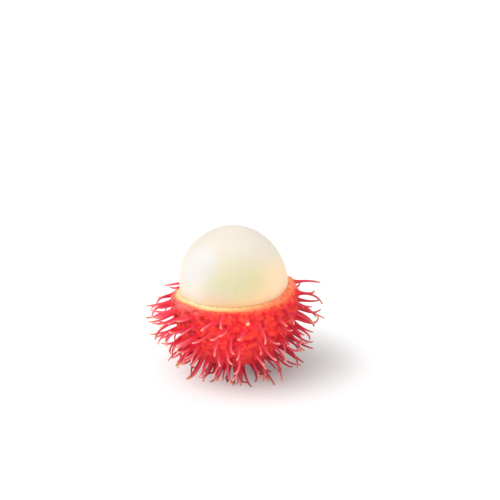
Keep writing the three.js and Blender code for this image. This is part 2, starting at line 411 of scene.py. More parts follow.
@dataclass
class Shape:
    """A mesh in the making: its corners, its faces, and its marks, which the finishes read."""

    points: np.ndarray
    faces: list[tuple[int, ...]]
    marks: dict[str, np.ndarray]

    @classmethod
    def of_mesh(cls, mesh: bpy.types.Mesh, names: tuple[str, ...]) -> Shape:
        """Read a mesh back.

        Args:
            mesh: The mesh.
            names: The marks to keep.

        Returns:
            The same shape.
        """
        points = np.empty(len(mesh.vertices) * 3)
        mesh.vertices.foreach_get("co", points)
        marks = {}
        for name in names:
            marks[name] = np.empty(len(mesh.vertices))
            mesh.attributes[name].data.foreach_get("value", marks[name])
        faces = [tuple(face.vertices) for face in mesh.polygons]
        return cls(points.reshape(-1, 3), faces, marks)

    def joined(self, other: Shape) -> Shape:
        """Put another shape with the same marks beside this one.

        Args:
            other: The other shape.

        Returns:
            Both in one.
        """
        shift = len(self.points)
        faces = self.faces + [tuple(i + shift for i in face) for face in other.faces]
        marks = {k: np.concatenate([v, other.marks[k]]) for k, v in self.marks.items()}
        return Shape(np.concatenate([self.points, other.points]), faces, marks)

    def object(self, name: str, material: bpy.types.Material) -> bpy.types.Object:
        """Make the finished object in the scene, smooth-shaded, with its marks as attributes.

        Args:
            name: The object's name.
            material: Its only material.

        Returns:
            The object, at the origin.
        """
        mesh = bpy.data.meshes.new(name)
        mesh.from_pydata(self.points.tolist(), [], self.faces)
        write_marks(mesh, self.marks)
        mesh.shade_smooth()
        mesh.update()
        mesh.materials.append(material)
        return in_scene(name, mesh)


def turned(rows: np.ndarray, sides: int) -> tuple[np.ndarray, list[tuple[int, ...]]]:
    """Turn an outline about Z into a closed surface facing out.

    Args:
        rows: Radius and height of each ring, from one pole to the other, running upwards on the outside.
            The first and last radii are 0.
        sides: Corners of each ring.

    Returns:
        The corners, ring by ring with one corner at each pole, and the faces.
    """
    angles = np.arange(sides) * (2 * math.pi / sides)
    rings = rows[1:-1]
    points = np.empty((len(rings), sides, 3))
    points[..., 0] = rings[:, :1] * np.cos(angles)
    points[..., 1] = rings[:, :1] * np.sin(angles)
    points[..., 2] = rings[:, 1:]
    first = np.array([[0, 0, rows[0, 1]]])
    last = np.array([[0, 0, rows[-1, 1]]])
    corners = np.concatenate([first, points.reshape(-1, 3), last])
    end = len(corners) - 1
    faces: list[tuple[int, ...]] = []
    for side in range(sides):
        after = (side + 1) % sides
        faces.append((0, 1 + after, 1 + side))
        for ring in range(len(rings) - 1):
            low = 1 + ring * sides
            high = low + sides
            faces.append((low + side, low + after, high + after, high + side))
        top = 1 + (len(rings) - 1) * sides
        faces.append((top + side, top + after, end))
    return corners, faces


class Zone(Enum):
    """The parts of the cup's outline, from the stem end to the bottom of the lining."""

    SCAR = "scar"
    SKIN = "skin"
    SHOULDER = "shoulder"
    TORN = "torn"
    LINING = "lining"


@dataclass(frozen=True)
class OutlinePoint:
    """One point of the cup's outline."""

    radius: float
    height: float
    zone: Zone


def srgb(code: str) -> tuple[float, float, float, float]:
    """Turn a hex colour into Blender's linear one.

    Args:
        code: Such as "#e83040".

    Returns:
        Linear red, green and blue, and an alpha of 1.
    """
    shares = [int(code[i : i + 2], 16) / 255 for i in (1, 3, 5)]
    linear = [s / 12.92 if s <= 0.04045 else ((s + 0.055) / 1.055) ** 2.4 for s in shares]
    return (linear[0], linear[1], linear[2], 1.0)


@dataclass(frozen=True)
class Veil:
    """A colour laid over others: how much of it at most, and the range of a number over which it grows."""

    colour: str
    most: float = 1
    span: Span = (0, 1)


@dataclass(frozen=True)
class Relief:
    """A bump: how much of it counts, and its full height."""

    strength: float
    height: float


class Nodes:
    """A short way to write a material's nodes."""

    def __init__(self, name: str) -> None:
        """Start a material.

        Args:
            name: The material's name.
        """
        self.material = bpy.data.materials.new(name)
        self.material.use_nodes = True
        self.tree = self.material.node_tree
        self.shader = self.tree.nodes["Principled BSDF"]

    def plug(self, source: object, socket: Socket) -> None:
        """Link a socket, or set its value.

        Args:
            source: An output socket, a number, a colour or a hex colour.
            socket: The input.
        """
        if isinstance(source, Socket):
            self.tree.links.new(source, socket)
        else:
            socket.default_value = srgb(source) if isinstance(source, str) else source

    def add(self, kind: str, inputs: Inputs | None = None, **settings: object) -> bpy.types.Node:
        """Add a node.

        Args:
            kind: Its Blender type, without "ShaderNode".
            inputs: What to plug into its inputs, by their names or numbers.
            settings: Its properties.

        Returns:
            The node.
        """
        node = self.tree.nodes.new("ShaderNode" + kind)
        for key, value in settings.items():
            setattr(node, key, value)
        for name, source in (inputs or {}).items():
            self.plug(source, node.inputs[name])
        return node

    def here(self) -> Socket:
        """Read the object's own coordinates."""
        return self.add("TexCoord").outputs["Object"]

    def mark(self, name: str) -> Socket:
        """Read one of the mesh's marks."""
        return self.add("Attribute", attribute_name=name).outputs["Fac"]

    def mixed(self, share: object, first: object, second: object) -> Socket:
        """Mix two colours, with a share of the second."""
        return self.add("Mix", {0: share, 6: first, 7: second}, data_type="RGBA").outputs[2]

    def times(self, first: object, second: object) -> Socket:
        """Multiply two numbers."""
        return self.add("Math", {0: first, 1: second}, operation="MULTIPLY").outputs[0]

    def ranged(self, value: object, span: Span, to: Span = (0, 1)) -> Socket:
        """Move a number smoothly from one range on to another."""
        inputs = {"Value": value, "From Min": span[0], "From Max": span[1], "To Min": to[0], "To Max": to[1]}
        return self.add("MapRange", inputs, interpolation_type="SMOOTHSTEP").outputs["Result"]

    def veiled(self, below: object, veil: Veil, amount: object) -> Socket:
        """Lay a colour over another, more of it where the amount is high."""
        return self.mixed(self.ranged(amount, veil.span, (0, veil.most)), below, veil.colour)

    def ramp(self, value: object, stops: Ramp) -> Socket:
        """Turn a number into a colour.

        Args:
            value: The number, from 0 to 1.
            stops: Places and hex colours.

        Returns:
            The colour.
        """
        node = self.add("ValToRGB", {"Fac": value})
        elements = node.color_ramp.elements
        while len(elements) < len(stops):
            elements.new(1)
        for element, (place, code) in zip(elements, stops):
            element.position = place
            element.color = srgb(code)
        return node.outputs["Color"]

    def speckle(self, size: float, detail: float) -> Socket:
        """Add smooth noise with grains of a size, mostly from 0.3 to 0.7."""
        inputs = {"Vector": self.here(), "Scale": 1 / size, "Detail": detail}
        return self.add("TexNoise", inputs).outputs["Fac"]

    def bump(self, height: object, relief: Relief, after: object = None) -> Socket:
        """Add a bump to the plain normal or `after` another bump."""
        inputs = {"Height": height, "Strength": relief.strength, "Distance": relief.height}
        return self.add("Bump", inputs | ({"Normal": after} if after else {})).outputs["Normal"]

    def set(self, name: str, value: object) -> None:
        """Set or link one of the shader's sockets."""
        self.plug(value, self.shader.inputs[name])


@dataclass(frozen=True)
class RindFinish:
    """The rind's skin, its spines, the torn rim and the pale lining.

    Its two ramps colour the spines' tips by their tint, and the torn rim from the skin to the lining.
    """

    skin: str = "#ff1426"
    skin_light: Veil = Veil("#ff4e34", 1, (0.35, 0.65))
    skin_tint: Veil = Veil("#d81236", 0.25)
    down: Veil = Veil("#ff7462", 0.4, (0.5, 0.72))
    bloom: Veil = Veil("#ff968c", 0.8)
    # Deep red of painted shade, in the creases, round the spines' roots and on the shaded side and underside.
    shade_red: str = "#c60020"
    skin_shade_share: float = 0.6
    shaft: str = "#d81236"
    shaft_light: Veil = Veil("#ff4c64")
    shaft_skin: Veil = Veil("#ff1426", 0.3, (0.4, 0.7))
    shaft_pale: Veil = Veil("#ff8890", 0.5, (0.25, 0.85))
    # Deep crimson of painted shade on the spines' shaded side and underside.
    shaft_shade: str = "#8e0c22"
    shaft_shade_share: float = 0.85
    tips: Ramp = ((0.62, "#ffae9e"), (0.74, "#f8c068"), (0.9, "#f8c068"), (1, "#b87a34"))
    # Brown for tips under painted shade, and the stem scar's own brown.
    tip_brown: str = "#a05a38"
    rim: Ramp = ((0.45, "#ff6042"), (0.6, "#ffae74"), (0.8, "#ffd798"), (1, "#fff2cf"))
    root_span: Span = (0.02, 0.22)
    tip_span: Span = (0.74, 0.98)
    rim_span: Span = (0.05, 0.5)
    mottle_size: float = 1.5 * MM
    fine_size: float = 0.6 * MM
    octaves: int = 3
    fine_relief: Relief = Relief(0.4, 0.12 * MM)
    lump_size: float = 0.9 * MM
    lump_octaves: int = 2
    lump_relief: Relief = Relief(0.3, 0.3 * MM)
    roughness: float = 0.4
    scatter_share: float = 0.15
    scatter_radius: Triple = (1.0, 0.3, 0.2)
    scatter_depth: float = 0.9 * MM
    gloss: float = 0.2

    def material(self) -> bpy.types.Material:
        """Build the material.

        Returns:
            The material, which reads the marks tip, tint, crease, edge, dusk and bloom.
        """
        nodes = Nodes("rind_skin")
        tip, tint = nodes.mark("tip"), nodes.mark("tint")
        crease, edge = nodes.mark("crease"), nodes.mark("edge")
        skin = nodes.veiled(self.skin, self.skin_light, nodes.speckle(self.mottle_size, self.octaves))
        fine = nodes.speckle(self.fine_size, self.octaves)
        skin = nodes.veiled(skin, self.skin_tint, tint)
        skin = nodes.veiled(skin, self.down, fine)
        skin = nodes.veiled(skin, self.bloom, nodes.mark("bloom"))
        # Painted shade in the skin's creases and round the spines' roots.
        skin = nodes.mixed(crease, skin, self.shade_red)
        shaft = nodes.veiled(self.shaft, self.shaft_light, tint)
        shaft = nodes.veiled(shaft, self.shaft_skin, fine)
        shaft = nodes.veiled(shaft, self.shaft_pale, tip)
        # Painted shade on the shaded side and underside deepens shafts, skin and tips; on the stem scar the
        # same mark gives its brown.
        dusk = nodes.mark("dusk")
        shaft = nodes.mixed(nodes.times(dusk, self.shaft_shade_share), shaft, self.shaft_shade)
        skin = nodes.mixed(nodes.times(dusk, self.skin_shade_share), skin, self.shade_red)
        tips = nodes.mixed(dusk, nodes.ramp(tint, self.tips), self.tip_brown)
        body = nodes.mixed(nodes.ranged(tip, self.root_span), skin, shaft)
        body = nodes.mixed(nodes.ranged(tip, self.tip_span), body, tips)
        body = nodes.mixed(nodes.ranged(edge, self.rim_span), body, nodes.ramp(edge, self.rim))
        nodes.set("Base Color", body)
        nodes.set("Roughness", self.roughness)
        nodes.set("Subsurface Weight", self.scatter_share)
        nodes.set("Subsurface Radius", self.scatter_radius)
        nodes.set("Subsurface Scale", self.scatter_depth)
        nodes.set("Specular IOR Level", self.gloss)
        lumps = nodes.bump(nodes.speckle(self.lump_size, self.lump_octaves), self.lump_relief)
        nodes.set("Normal", nodes.bump(fine, self.fine_relief, lumps))
        return nodes.material


@dataclass(frozen=True)
class FleshFinish:
    """The flesh: smooth, moist, milky and a little see-through, peach towards the rind as painted bounce
    light from the red rind.

    Its ramp colours it from the rim upwards, and each veil follows the mark that it is listed with.
    """

    # Peach low down, near the rind: painted bounce light from the red rind.
    body: Ramp = ((0, "#eecbab"), (0.14, "#eecbab"), (0.42, "#e2dcc0"), (0.85, "#e8dfd2"))
    veils: tuple[tuple[str, Veil], ...] = (
        # Painted red bounce light on the lower right.
        ("painted_bounce", Veil("#ffdab0", 0.85)),
        # Painted light on the lit left side.
        ("painted_lit_side", Veil("#f1eadc", 0.9)),
        ("seed", Veil("#cfcb94", 0.6)),
        ("streak", Veil("#e8dfd2", 0.35, (0.4, 1))),
        # A painted rim light: peach round the edge seen from the front, and over the back half.
        ("painted_edge_light", Veil("#fcd3b4", 0.2)),
        # A painted sheen, cool white, high on the left.
        ("painted_sheen", Veil("#e2e4f0", 0.38)),
    )
    # A painted glow along the flesh's foot at the rim, yellower on the left.
    painted_glow: str = "#ffb777"
    painted_glow_left: str = "#ffe69c"
    roughness: float = 0.45
    scatter_share: float = 0.7
    scatter_radius: Triple = (1.0, 0.62, 0.34)
    scatter_depth: float = 2.5 * MM
    coat: float = 0.12
    coat_roughness: float = 0.32
    streak_relief: Relief = Relief(0.12, 0.15 * MM)

    def material(self) -> bpy.types.Material:
        """Build the material.

        Returns:
            The material, which reads the veils' marks, and the marks climb, left and glow.
        """
        nodes = Nodes("flesh_skin")
        body = nodes.ramp(nodes.mark("climb"), self.body)
        for mark, veil in self.veils:
            body = nodes.veiled(body, veil, nodes.mark(mark))
        # Painted glow along the flesh's foot, yellower on the left.
        painted_glow = nodes.mixed(nodes.mark("left"), self.painted_glow, self.painted_glow_left)
        nodes.set("Base Color", nodes.mixed(nodes.mark("painted_glow"), body, painted_glow))
        nodes.set("Roughness", self.roughness)
        nodes.set("Subsurface Weight", self.scatter_share)
        nodes.set("Subsurface Radius", self.scatter_radius)
        nodes.set("Subsurface Scale", self.scatter_depth)
        nodes.set("Coat Weight", self.coat)
        nodes.set("Coat Roughness", self.coat_roughness)
        nodes.set("Normal", nodes.bump(nodes.mark("streak"), self.streak_relief))
        return nodes.material


@dataclass(frozen=True)
class Section:
    """One round section of a spine, with its marks; its painted shade only deepens the spine's own."""

    centre: Vector
    radius: float
    tip: float
    edge: float = 0
    dusk: float = 0


@dataclass
class Rind:
    """The cup of rind with its spines, as one piece.

    The scar's profiles give each ring's radius, as a share of the scar's or its pit's, and its height. The
    torn one gives shares of the way from the skin to the lip, and heights. The snapped spine's give shares of
    its radius, and distances back from its end. The tip's says how much of its radius is left to its end.
    """

    cup: CupShape
    spines: SpineField
    stance: Stance
    finish: RindFinish
    sides: int = 400
    skin_rows: int = 96
    shoulder_rows: int = 12
    lining_rows: int = 10
    pit_profile: Profile = ((0, 0.1 * MM), (0.35, 0.1 * MM), (0.7, 0.05 * MM), (1, -0.1 * MM))
    pit_edge_profile: Profile = ((1.15, 0.05 * MM), (1.5, 0))
    scar_profile: Profile = ((0.8, 0.06 * MM), (1, 0.2 * MM))
    scar_edge_profile: Profile = ((1.06, 0.05 * MM),)
    skin_start: float = 1.15
    shoulder_share: float = 0.93
    torn_profile: Profile = (
        (0.2, 0.1 * MM),
        (0.4, 0.17 * MM),
        (0.6, 0.23 * MM),
        (0.8, 0.34 * MM),
        (1, 0.62 * MM),
    )
    lip_reach: float = 0.42 * MM
    lip_drop: float = 0.6 * MM
    lining_drop: float = 1.6 * MM
    tubercle_radius: float = 1.7 * MM
    tubercle_height: float = 0.9 * MM
    crease_width: float = 1.6 * MM
    crease_depth: float = 0.3 * MM
    # The ring of painted shadow round each spine's root.
    root_shadow_radius: float = 1.5 * MM
    root_shadow_width: float = 0.5 * MM
    patches: Grain = Grain(2.6 * MM, 3)
    patch_span: Span = (-0.35, 0.35)
    rough: Grain = Grain(1.5 * MM)
    rough_height: float = 0.3 * MM
    fuzz: Grain = Grain(0.7 * MM, 5)
    fuzz_height: float = 0.22 * MM
    calm_span: Span = (-0.1 * MM, 0.9 * MM)
    torn_grains: tuple[tuple[float, Grain], ...] = ((0.7, Grain(1.2 * MM, 9)), (0.5, Grain(0.5 * MM, 13)))
    frayed_height: float = 0.32 * MM
    frayed_span: Span = (1.1 * MM, 0.1 * MM)
    # How much painted shade the creases and the root rings get, and how much the raised grain takes off it.
    crease_shade_strength: float = 0.45
    root_shadow_strength: float = 0.85
    fuzz_light: float = 0.25
    rough_light: float = 0.5
    orange_turn: float = math.radians(-20)
    orange_power: float = 1.5
    orange_front: float = 0.9 * MM
    orange_right: float = 3.2 * MM
    orange_grain: Grain = Grain(1.8 * MM, 17)
    orange_uneven: float = 0.8
    orange_fuzz: float = 0.6
    orange_least: float = 0.2
    orange_top: float = 0.6
    orange_top_drop: float = 0.1
    torn_edge: float = 0.85
    torn_edge_drop: float = 0.36
    torn_edge_uneven: float = 0.15
    # Painted shade: more on one side and towards the stem end, a share of it on the skin, and at least this
    # share on each spine.
    shade_turn: float = 0
    shade_span: Span = (0.1, 1)
    shade_depths: Span = (0.45, 0.88)
    shade_on_side: float = 0.6
    shade_below: float = 0.8
    shade_on_skin: float = 0.6
    shade_least: float = 0.6
    bloom_turn: float = math.radians(-155)
    bloom_power: float = 3
    bloom_width: float = 2.4 * MM
    bloom_fuzz: float = 0.5
    pale_turn: float = math.radians(-80)
    pallor: float = 0.35
    thinnest: float = 0.86
    thickness_range: float = 0.22
    tip_profile: tuple[float, ...] = (0.55, 0.25, 0.06)
    snapped_tint: float = 0.8
    snapped_flare: float = 0.42 * MM
    flare_power: float = 4
    snapped_face: float = 0.85
    face_profile: Profile = ((0.85, -0.03 * MM), (0.5, -0.02 * MM))
    hollow_profile: Profile = ((0.4, 0.1 * MM), (0.3, 0.4 * MM))
    shaft_sides: int = 8
    shaft_points: int = 19

    # The rind's marks; two of them are painted shade, one of which also browns the stem scar.
    MARKS = ("tip", "tint", "crease", "edge", "dusk", "bloom")

    def outline(self) -> list[OutlinePoint]:
        """Draw the cup's outline, from the stem scar up the outside, over the torn rim and down the lining.

        Returns:
            Its points. The first and the last are on the axis.
        """
        cup = self.cup
        bottom = -cup.depth
        face = bottom - cup.scar_height
        points = []
        for unit, base, profile in (
            (cup.scar_pit, bottom, self.pit_profile),
            (cup.scar_pit, face, self.pit_edge_profile),
            (cup.scar_radius, face, self.scar_profile),
            (cup.scar_radius, bottom, self.scar_edge_profile),
        ):
            points += [OutlinePoint(share * unit, base + rise, Zone.SCAR) for share, rise in profile]
        low = math.asin(self.skin_start * cup.scar_radius / cup.radius)
        foot = cup.rim_height - cup.shoulder_drop
        high = math.acos(-foot / cup.depth)
        for i in range(self.skin_rows):
            turn = low + (high - low) * i / self.skin_rows
            points.append(OutlinePoint(cup.radius * math.sin(turn), -cup.depth * math.cos(turn), Zone.SKIN))
        inner = cup.radius - cup.rind
        outer = inner + cup.rim_face
        for i in range(self.shoulder_rows + 1):
            turn = self.shoulder_share * (math.pi / 2) * i / self.shoulder_rows
            radius = outer + (cup.ring(foot) - outer) * math.cos(turn)
            height = foot + cup.shoulder_drop * math.sin(turn)
            points.append(OutlinePoint(radius, height, Zone.SHOULDER))
        edge = points[-1]
        lip = inner - self.lip_reach
        for share, rise in self.torn_profile:
            radius = edge.radius + (lip - edge.radius) * share
            points.append(OutlinePoint(radius, edge.height + rise, Zone.TORN))
        points.append(OutlinePoint(lip, edge.height - self.lip_drop, Zone.LINING))
        depth = cup.depth - cup.stem_end
        start = math.asin((edge.height - self.lining_drop) / depth)
        for i in range(self.lining_rows):
            turn = start - (start + math.pi / 2) * i / self.lining_rows
            points.append(OutlinePoint(inner * math.cos(turn), depth * math.sin(turn), Zone.LINING))
        points.append(OutlinePoint(0, -depth, Zone.LINING))
        return points

    def cup_shape(self) -> Shape:
        """Shape the cup: tubercles at the spines' roots, creases between them, and a frayed rim; mark painted
        shade in the creases, round the roots, on the shaded side and underside.

        Returns:
            The cup in the part's frame, with its marks.
        """
        cup = self.cup
        outline = self.outline()
        rows = np.array([(p.radius, p.height) for p in outline])
        points, faces = turned(rows, self.sides)
        row = np.concatenate([[0], np.repeat(np.arange(1, len(rows) - 1), self.sides), [len(rows) - 1]])
        zones = np.array([p.zone.value for p in outline])[row]
        slope = np.gradient(rows, axis=0)
        across = np.stack([slope[:, 1], -slope[:, 0]], axis=1)
        across /= np.linalg.norm(across, axis=1, keepdims=True)
        out, up = across[row].T
        angle = np.arctan2(points[:, 1], points[:, 0])
        normal = np.stack([out * np.cos(angle), out * np.sin(angle), up], axis=1)
        outside = np.isin(zones, [Zone.SKIN.value, Zone.SHOULDER.value])
        nearest, gap, owner = self.cells(points)
        patchy = smoothstep(self.patches.at(points), *self.patch_span)
        # Where the creases run, in patches: they dip the surface and also get painted shade.
        crease = (1 - smoothstep(gap, 0, self.crease_width)) * patchy
        rough, fuzz = self.rough.at(points), self.fuzz.at(points)
        below_rim = cup.rim_height - points[:, 2]
        calm = np.where(outside, smoothstep(below_rim, *self.calm_span), 0)
        lift = self.tubercle_height * np.exp(-((nearest / self.tubercle_radius) ** 2))
        lift -= self.crease_depth * crease
        lift += self.rough_height * rough + self.fuzz_height * fuzz
        points = points + normal * (lift * calm)[:, None]
        torn = sum(share * grain.at(points) for share, grain in self.torn_grains)
        points[:, 2] = cup.lifted(points[:, 2], angle)
        points[:, 2] += self.frayed_height * torn * smoothstep(below_rim, *self.frayed_span)
        scar = zones == Zone.SCAR.value
        to_right = np.clip(np.cos(angle - self.orange_turn), 0, 1) ** self.orange_power
        skin_edge = self.orange(points, below_rim, to_right, fuzz)
        torn_edge = self.torn_edge - self.torn_edge_drop * to_right + self.torn_edge_uneven * torn
        edge = np.select([outside, zones == Zone.TORN.value, scar], [skin_edge, torn_edge, 0], 1)
        # Painted shadow in a ring round each root and painted shade in the creases, lighter on raised grain.
        root_shadow = np.exp(-(((nearest - self.root_shadow_radius) / self.root_shadow_width) ** 2))
        painted_shade = self.crease_shade_strength * crease + self.root_shadow_strength * root_shadow * patchy
        painted_shade = np.clip(painted_shade - self.fuzz_light * fuzz - self.rough_light * rough, 0, 1)
        near_rim = np.exp(-np.maximum(below_rim, 0) / self.bloom_width) * (1 + self.bloom_fuzz * fuzz)
        bloom = np.clip(np.cos(angle - self.bloom_turn), 0, 1) ** self.bloom_power
        marks = {
            "tip": scar.astype(float),
            "tint": np.array([scatter(int(i), Draw.TINT) for i in owner]),
            "crease": painted_shade * calm,
            "edge": edge,
            # Painted shade on the skin's shaded side and underside; the stem scar takes the full mark, which
            # makes it brown.
            "dusk": np.where(outside, self.shade_on_skin * self.shade_at(angle, points[:, 2]), scar),
            "bloom": bloom * np.clip(near_rim, 0, 1),
        }
        return Shape(self.stance.placed(points), faces, marks)

    def orange(
        self, points: np.ndarray, below_rim: np.ndarray, to_right: np.ndarray, fuzz: np.ndarray
    ) -> np.ndarray:
        """Give how far the skin's red turns orange: in a band below the rim, wider on one side.

        Args:
            points: Points of the cup, about its own axis.
            below_rim: How far each lies below the rim.
            to_right: How much each belongs to the side with the wide band, from 0 to 1.
            fuzz: The skin's fine noise.

        Returns:
            Numbers from 0 to a little over a half.
        """
        width = self.orange_front + (self.orange_right - self.orange_front) * to_right
        uneven = 1 + self.orange_uneven * self.orange_grain.at(points) + self.orange_fuzz * fuzz
        width = width * np.maximum(uneven, self.orange_least)
        top = self.orange_top - self.orange_top_drop * to_right
        return top * (1 - smoothstep(below_rim / width, 0, 1))

    def shade_at(self, turn: np.ndarray, height: np.ndarray) -> np.ndarray:
        """Give how much painted shade falls: more on one side of the fruit and towards its stem end.

        Args:
            turn: The turn round the fruit.
            height: Above the cup's widest part.

        Returns:
            Numbers from 0 to 1.
        """
        side = smoothstep(np.cos(turn - self.shade_turn), *self.shade_span)
        below = smoothstep(-height, *(share * self.cup.depth for share in self.shade_depths))
        return np.clip(self.shade_on_side * side + self.shade_below * below, 0, 1)

    def cells(self, points: np.ndarray) -> tuple[np.ndarray, np.ndarray, np.ndarray]:
        """Find the spine nearest to each point of the bare cup.

        Args:
            points: Points of the cup, about its own axis.

        Returns:
            The distance to the nearest root, how much further the next one is, and the nearest spine's
            number.
        """
        roots = []
        for index in range(self.spines.count):
            turn, height = self.spines.place(index)
            ring = self.cup.ring(height)
            roots.append((ring * math.cos(turn), ring * math.sin(turn), height))
        spots = np.array(roots)
        squares = (points**2).sum(axis=1)[:, None] + (spots**2).sum(axis=1) - 2 * points @ spots.T
        distance = np.sqrt(np.maximum(squares, 0))
        owner = distance.argmin(axis=1)
        two = np.partition(distance, 1, axis=1)
        return two[:, 0], two[:, 1] - two[:, 0], owner

    def shaft_line(self, spine: Spine) -> list[Section]:
        """Give the sections of one spine: evenly spaced along it, then closing round its tip.

        Args:
            spine: The spine.

        Returns:
            The sections, from the root to the tip or, on the snapped spine, to the hollow in its face.
        """
        thick = self.thinnest + self.thickness_range * scatter(spine.index, Draw.THICKNESS)
        end = self.spines.tip_radius
        snapped = spine.index == self.spines.snapped_index
        sections = [Section(spine.root, self.spines.root_radius, 0)]
        straight = spine.length - (0 if snapped else end)
        for i in range(self.shaft_points):
            along = straight * i / (self.shaft_points - 1)
            radius = self.spines.radius_at(along, spine.length) * thick
            if snapped:
                radius += self.snapped_flare * (along / straight) ** self.flare_power
            sections.append(Section(self.point_on(spine, along), radius, along / spine.length))
        if snapped:
            # The snapped face, then the hollow in it, which takes the full painted shade.
            for profile, edge, dusk in (
                (self.face_profile, self.snapped_face, 0),
                (self.hollow_profile, 0, 1),
            ):
                for share, back in profile:
                    centre = self.point_on(spine, straight - back)
                    sections.append(Section(centre, radius * share, 1, edge, dusk))
            return sections
        for left in self.tip_profile:
            centre = self.point_on(spine, spine.length - end * left)
            sections.append(Section(centre, radius * math.sqrt(1 - (1 - left) ** 2), 1))
        return sections

    def point_on(self, spine: Spine, along: float) -> Vector:
        """Give a point of a spine's middle line, on a smooth curve through its steps.

        Args:
            spine: The spine.
            along: Distance from its root on the surface.

        Returns:
            The point.
        """
        line = spine.line
        place = along / spine.length * (len(line) - 1)
        i = min(max(int(place), 0), len(line) - 2)
        t = place - i
        a, b = line[max(i - 1, 0)], line[i]
        c, d = line[i + 1], line[min(i + 2, len(line) - 1)]
        bend = (b - c) * 3 + d - a
        sway = a * 2 - b * 5 + c * 4 - d
        return b + ((c - a) * t + sway * t**2 + bend * t**3) / 2

    def middle_lines(self) -> bpy.types.Object:
        """Make one mesh of edges that holds every spine's middle line.

        Returns:
            The object, with the marks and the thickness at each point.
        """
        points, edges = [], []
        marks: dict[str, list[float]] = {name: [] for name in (*self.MARKS, "thickness")}
        for spine in self.spines.spines():
            turn, height = self.spines.place(spine.index)
            paler = self.pallor * max(math.cos(turn - self.pale_turn), 0)
            tint = scatter(spine.index, Draw.TINT) * (1 - paler)
            if spine.index == self.spines.snapped_index:
                tint = self.snapped_tint
            # The spine's painted shade, by where it grows, somewhat less at random.
            dusk = float(self.shade_at(np.array(turn), np.array(height)))
            dusk *= self.shade_least + (1 - self.shade_least) * scatter(spine.index, Draw.SHADE)
            for k, section in enumerate(self.shaft_line(spine)):
                if k:
                    edges.append((len(points) - 1, len(points)))
                points.append(section.centre)
                values = (section.tip, tint, 0, section.edge, max(dusk, section.dusk), 0, section.radius)
                for name, value in zip(marks, values):
                    marks[name].append(value)
        mesh = bpy.data.meshes.new("spine_lines")
        mesh.from_pydata(points, edges, [])
        write_marks(mesh, {name: np.array(values) for name, values in marks.items()})
        return in_scene("spine_lines", mesh)

    def sweep_tree(self) -> bpy.types.GeometryNodeTree:
        """Build the nodes that sweep a round section along every line, as thick as the line says.

        Returns:
            The tree, with the inputs Sides and Finish.
        """
        tree = bpy.data.node_groups.new("sweep_spines", "GeometryNodeTree")
        for name, way, kind in (
            ("Geometry", "INPUT", "Geometry"),
            ("Sides", "INPUT", "Int"),
            ("Finish", "INPUT", "Material"),
            ("Geometry", "OUTPUT", "Geometry"),
        ):
            tree.interface.new_socket(name, in_out=way, socket_type="NodeSocket" + kind)
        nodes = {
            name: tree.nodes.new(kind)
            for name, kind in (
                ("given", "NodeGroupInput"),
                ("curve", "GeometryNodeMeshToCurve"),
                ("section", "GeometryNodeCurvePrimitiveCircle"),
                ("thickness", "GeometryNodeInputNamedAttribute"),
                ("sweep", "GeometryNodeCurveToMesh"),
                ("realize", "GeometryNodeRealizeInstances"),
                ("dress", "GeometryNodeSetMaterial"),
                ("result", "NodeGroupOutput"),
            )
        }
        nodes["section"].inputs["Radius"].default_value = 1.0
        nodes["thickness"].inputs["Name"].default_value = "thickness"
        nodes["sweep"].inputs["Fill Caps"].default_value = True
        for start, output, end, socket in (
            ("given", "Geometry", "curve", "Mesh"),
            ("given", "Sides", "section", "Resolution"),
            ("curve", "Curve", "sweep", "Curve"),
            ("section", "Curve", "sweep", "Profile Curve"),
            ("thickness", "Attribute", "sweep", "Scale"),
            ("sweep", "Mesh", "realize", "Geometry"),
            ("realize", "Geometry", "dress", "Geometry"),
            ("given", "Finish", "dress", "Material"),
            ("dress", "Geometry", "result", "Geometry"),
        ):
            tree.links.new(nodes[start].outputs[output], nodes[end].inputs[socket])
        return tree

    def spine_shape(self, material: bpy.types.Material) -> Shape:
        """Sweep every spine and press those that lie on the surface below flat on it.

        Args:
            material: The rind's material.

        Returns:
            All the spines.
        """
        lines = self.middle_lines()
        tree = self.sweep_tree()
        modifier = lines.modifiers.new("sweep", "NODES")
        modifier.node_group = tree
        inputs = {s.name: s.identifier for s in tree.interface.items_tree if s.in_out == "INPUT"}
        modifier[inputs["Sides"]] = self.shaft_sides
        modifier[inputs["Finish"]] = material
        graph = bpy.context.evaluated_depsgraph_get()
        swept = bpy.data.meshes.new_from_object(lines.evaluated_get(graph), depsgraph=graph)
        shape = Shape.of_mesh(swept, self.MARKS)
        shape.points[:, 2] = np.maximum(shape.points[:, 2], 0)
        bpy.data.objects.remove(lines)
        bpy.data.meshes.remove(swept)
        return shape

    def build(self) -> bpy.types.Object:
        """Build the piece and tie it to the model.

        Returns:
            The finished rind.
        """
        material = self.finish.material()
        spines = self.spine_shape(material)
        piece = self.cup_shape().joined(spines).object("rind_with_spines", material)
        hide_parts("rind")
        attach(piece, "root")
        return piece


@dataclass(frozen=True)
class Patch:
    """A patch on the flesh: its mark, the way it faces from the dome's middle, and its cosines' range."""

    mark: str
    way: Triple
    span: Span

    def at(self, ways: np.ndarray) -> np.ndarray:
        """Give its strength, from 0 to 1, for each unit vector from the dome's middle."""
        return smoothstep(ways @ np.array(Vector(self.way).normalized()), *self.span)


